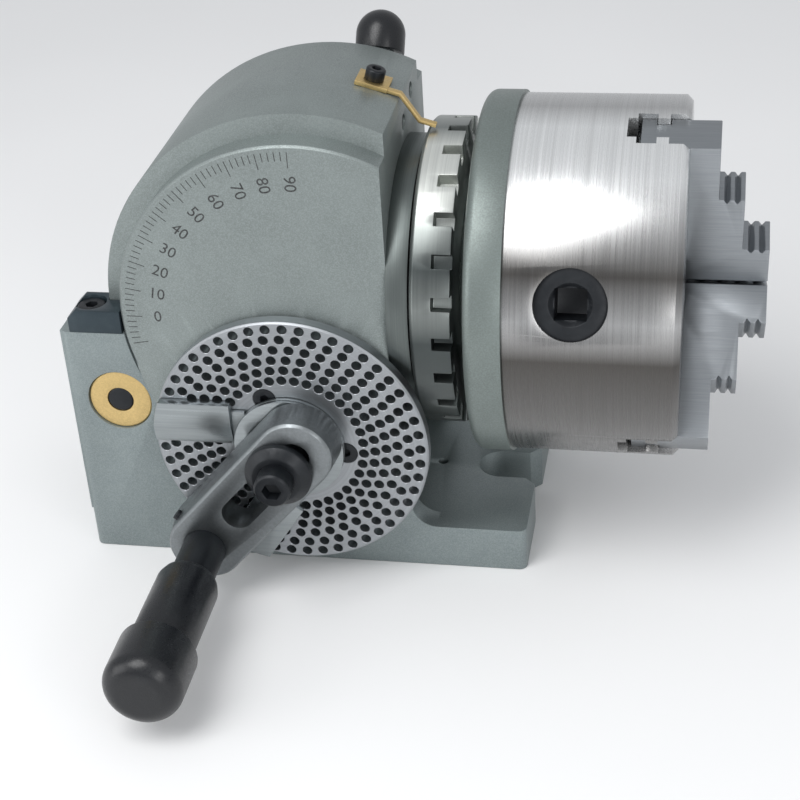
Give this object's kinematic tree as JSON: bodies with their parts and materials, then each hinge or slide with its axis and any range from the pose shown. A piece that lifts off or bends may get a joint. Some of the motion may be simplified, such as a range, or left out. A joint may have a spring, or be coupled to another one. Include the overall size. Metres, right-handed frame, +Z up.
{
  "type": "dividing head",
  "caption": "Tilting worm-geared dividing head with index plate, spring-pin crank, sector arms and a scroll chuck with stepped jaws, on a slotted cast base.",
  "frame": {"origin": "on the underside of the base, straight below the crossing of the tilt axis and the spindle axis", "axes": "+X along the spindle towards the chuck, -Y towards the crank and index plate, +Z up; the tilt axis lies along Y"},
  "size_m": [0.2442, 0.2336, 0.177],
  "materials": {
    "base_paint": "speckled satin grey paint",
    "head_paint": "speckled satin grey paint",
    "plate_paint": "satin grey-green",
    "chuck_steel": "turned and polished",
    "jaw_steel": "ground",
    "ground_steel": "ground",
    "index_metal": "satin",
    "sector_steel": "satin with polished bevel",
    "crank_steel": "satin",
    "black_steel": "black oxide",
    "brass": "dull",
    "bronze": "machined",
    "grip_black": "smooth black"
  },
  "bodies": {
    "base": {"base_casting": "base_paint", "clamp_blocks": "black_steel", "clamp_block_screws": "black_steel", "clamp_bushes": "brass", "cross_clamp_bolt": "black_steel"},
    "head": {"swivel_housing": "head_paint", "front_bearing": "ground_steel", "front_bearing_screws": "black_steel", "rear_bush": "bronze", "nose_set_screws": "black_steel", "worm_sleeve": "ground_steel", "index_plate": "index_metal", "index_plate_screws": "black_steel", "retaining_ring": "black_steel", "pointer_plate": "brass", "pointer_screw": "black_steel", "plunger_bracket": "head_paint", "plunger_bracket_screws": "black_steel"},
    "spindle": {"spindle": "ground_steel", "worm_wheel": "bronze", "worm_wheel_key": "ground_steel", "worm_wheel_nut": "ground_steel", "rear_lock_nut": "ground_steel", "direct_index_ring": "ground_steel", "chuck_back_plate": "plate_paint", "back_plate_bolts": "black_steel", "chuck_body": "chuck_steel", "scroll_cover": "ground_steel"},
    "crank": {"worm_shaft": "ground_steel", "crank_arm": "crank_steel", "crank_washer": "black_steel", "crank_bolt": "black_steel", "handle_barrel": "crank_steel", "barrel_set_screw": "black_steel"},
    "pin": {"index_pin": "ground_steel", "handle_grip": "grip_black", "handle_cap": "grip_black"},
    "left_sector": {"sector_arm_left": "sector_steel"},
    "right_sector": {"sector_arm_right": "sector_steel"},
    "lock": {"lock_screw": "ground_steel", "lock_knob": "grip_black"},
    "plunger": {"notch_plunger": "ground_steel", "plunger_knob": "black_steel"},
    "scroll": {"chuck_scroll": "ground_steel"},
    "jaw_1": {"chuck_jaw_1": "jaw_steel"},
    "jaw_2": {"chuck_jaw_2": "jaw_steel"},
    "jaw_3": {"chuck_jaw_3": "jaw_steel"},
    "pinion_1": {"chuck_pinion_1": "black_steel"},
    "pinion_2": {"chuck_pinion_2": "black_steel"},
    "pinion_3": {"chuck_pinion_3": "black_steel"}
  },
  "joints": [
    {"name": "head_tilt", "type": "hinge", "parent": "base", "child": "head", "pos_m": [0, 0, 0.1], "axis": [0, -1, 0], "range_deg": [-10, 90]},
    {"name": "spindle_turn", "type": "hinge", "parent": "head", "child": "spindle", "pos_m": [0, 0, 0.1], "axis": [1, 0, 0], "continuous": true},
    {"name": "crank_turn", "type": "hinge", "parent": "head", "child": "crank", "pos_m": [-0.0057, 0, 0.0567], "axis": [0, -1, 0], "continuous": true},
    {"name": "index_pin_slide", "type": "slide", "parent": "crank", "child": "pin", "axis": [0, 1, 0], "range_m": [0, 0.0084]},
    {"name": "left_sector_swing", "type": "hinge", "parent": "head", "child": "left_sector", "pos_m": [-0.0057, -0.054, 0.0567], "axis": [0, -1, 0], "range_deg": [-200, 45]},
    {"name": "right_sector_swing", "type": "hinge", "parent": "head", "child": "right_sector", "pos_m": [-0.0057, -0.0557, 0.0567], "axis": [0, -1, 0], "range_deg": [-45, 200]},
    {"name": "lock_screw_turn", "type": "hinge", "parent": "head", "child": "lock", "pos_m": [0.014, 0.04213, 0.1559], "axis": [0, 0.6018, 0.7986], "range_deg": [-180, 0]},
    {"name": "plunger_slide", "type": "slide", "parent": "head", "child": "plunger", "axis": [0, -1, 0], "range_m": [0, 0.005]},
    {"name": "scroll_turn", "type": "hinge", "parent": "spindle", "child": "scroll", "pos_m": [0.104, 0, 0.1], "axis": [1, 0, 0], "range_deg": [0, 720]},
    {"name": "jaw_1_slide", "type": "slide", "parent": "spindle", "child": "jaw_1", "axis": [0, -0.2079, 0.9781], "range_m": [0, 0.012]},
    {"name": "jaw_2_slide", "type": "slide", "parent": "spindle", "child": "jaw_2", "axis": [0, -0.7431, -0.6691], "range_m": [0, 0.012]},
    {"name": "jaw_3_slide", "type": "slide", "parent": "spindle", "child": "jaw_3", "axis": [0, 0.9511, -0.309], "range_m": [0, 0.012]},
    {"name": "pinion_1_turn", "type": "hinge", "parent": "spindle", "child": "pinion_1", "pos_m": [0.0926, -0.04755, 0.11545], "axis": [0, -0.9511, 0.309], "range_deg": [-3240, 0]},
    {"name": "pinion_2_turn", "type": "hinge", "parent": "spindle", "child": "pinion_2", "pos_m": [0.0926, 0.0104, 0.05109], "axis": [0, 0.2079, -0.9781], "range_deg": [-3240, 0]},
    {"name": "pinion_3_turn", "type": "hinge", "parent": "spindle", "child": "pinion_3", "pos_m": [0.0926, 0.03716, 0.13346], "axis": [0, 0.7431, 0.6691], "range_deg": [-3240, 0]}
  ],
  "couplings": [
    {"joint": "crank_turn", "follows": "spindle_turn", "ratio": 40},
    {"joint": "jaw_1_slide", "follows": "scroll_turn", "m_per_rad": 0.00095493},
    {"joint": "jaw_2_slide", "follows": "scroll_turn", "m_per_rad": 0.00095493},
    {"joint": "jaw_3_slide", "follows": "scroll_turn", "m_per_rad": 0.00095493},
    {"joint": "pinion_1_turn", "follows": "scroll_turn", "ratio": -4.5},
    {"joint": "pinion_2_turn", "follows": "scroll_turn", "ratio": -4.5},
    {"joint": "pinion_3_turn", "follows": "scroll_turn", "ratio": -4.5}
  ]
}
